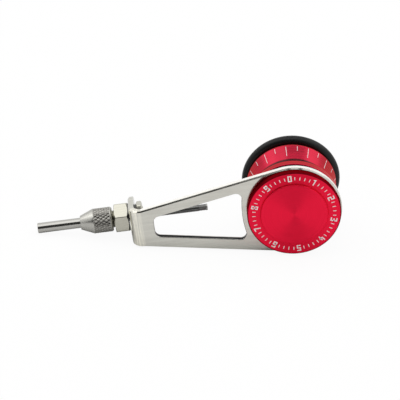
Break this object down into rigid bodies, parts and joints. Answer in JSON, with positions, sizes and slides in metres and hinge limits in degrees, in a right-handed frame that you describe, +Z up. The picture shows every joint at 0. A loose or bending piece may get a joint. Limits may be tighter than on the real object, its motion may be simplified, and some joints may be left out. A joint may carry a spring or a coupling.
{
  "type": "fishing line bobbin knotter",
  "caption": "Hand tool for tying leader knots: a line spool and drag knob on a bent steel arm, with a line nozzle held in a knurled collet chuck.",
  "frame": {"origin": "middle of the part's box, on the floor that the grip ring and the nozzle's tip stand on", "axes": "+X from the nozzle towards the spool, +Y along the spool axis away from the knob, +Z up"},
  "size_m": [0.1092, 0.028, 0.0355],
  "materials": {
    "arm_steel": "polished",
    "nut_steel": "plated satin",
    "chuck_steel": "knurled and plated",
    "sleeve_steel": "polished",
    "tube_steel": "drawn",
    "spring_steel": "rolled",
    "red_anodised": "anodised satin",
    "rubber_ring": "moulded satin",
    "brass_bush": "turned",
    "friction_felt": "pressed felt"
  },
  "bodies": {
    "arm": {"frame_arm": "arm_steel", "collet_body": "nut_steel", "front_washer": "spring_steel", "lock_washer": "spring_steel", "lock_nut": "nut_steel", "axle": "nut_steel", "thrust_washer": "spring_steel", "friction_washer": "friction_felt", "inner_spring": "spring_steel", "outer_spring": "spring_steel"},
    "spool": {"spool": "red_anodised", "grip_ring": "rubber_ring", "near_bush": "brass_bush", "far_bush": "brass_bush"},
    "pressure_washer": {"pressure_washer": "spring_steel"},
    "knob": {"knob": "red_anodised", "knob_insert": "brass_bush", "knob_cap": "red_anodised"},
    "collet": {"collet": "spring_steel"},
    "chuck_nut": {"chuck_nut": "chuck_steel"},
    "nozzle": {"nozzle_sleeve": "sleeve_steel", "guide_tube": "tube_steel", "front_bush": "tube_steel", "rear_bush": "sleeve_steel"}
  },
  "joints": [
    {"name": "spool_spin", "type": "hinge", "parent": "arm", "child": "spool", "pos_m": [0.03689, 0.00135, 0.01775], "axis": [0, 1, 0], "continuous": true},
    {"name": "drag_slide", "type": "slide", "parent": "arm", "child": "pressure_washer", "axis": [0, -1, 0], "range_m": [0, 0.0007]},
    {"name": "knob_turn", "type": "hinge", "parent": "pressure_washer", "child": "knob", "pos_m": [0.03689, 0.00135, 0.01775], "axis": [0, -1, 0], "range_deg": [0, 360]},
    {"name": "collet_slide", "type": "slide", "parent": "arm", "child": "collet", "axis": [-0.9851, 0, -0.172], "range_m": [0, 0.0015]},
    {"name": "chuck_turn", "type": "hinge", "parent": "collet", "child": "chuck_nut", "pos_m": [-0.03206, -0.00085, 0.00571], "axis": [-0.9851, 0, -0.172], "range_deg": [0, 720]},
    {"name": "nozzle_slide", "type": "slide", "parent": "arm", "child": "nozzle", "axis": [-0.9851, 0, -0.172], "range_m": [-0.012, 0.005]}
  ],
  "couplings": [
    {"joint": "knob_turn", "follows": "drag_slide", "rad_per_m": 8975},
    {"joint": "chuck_turn", "follows": "collet_slide", "rad_per_m": 8377}
  ]
}
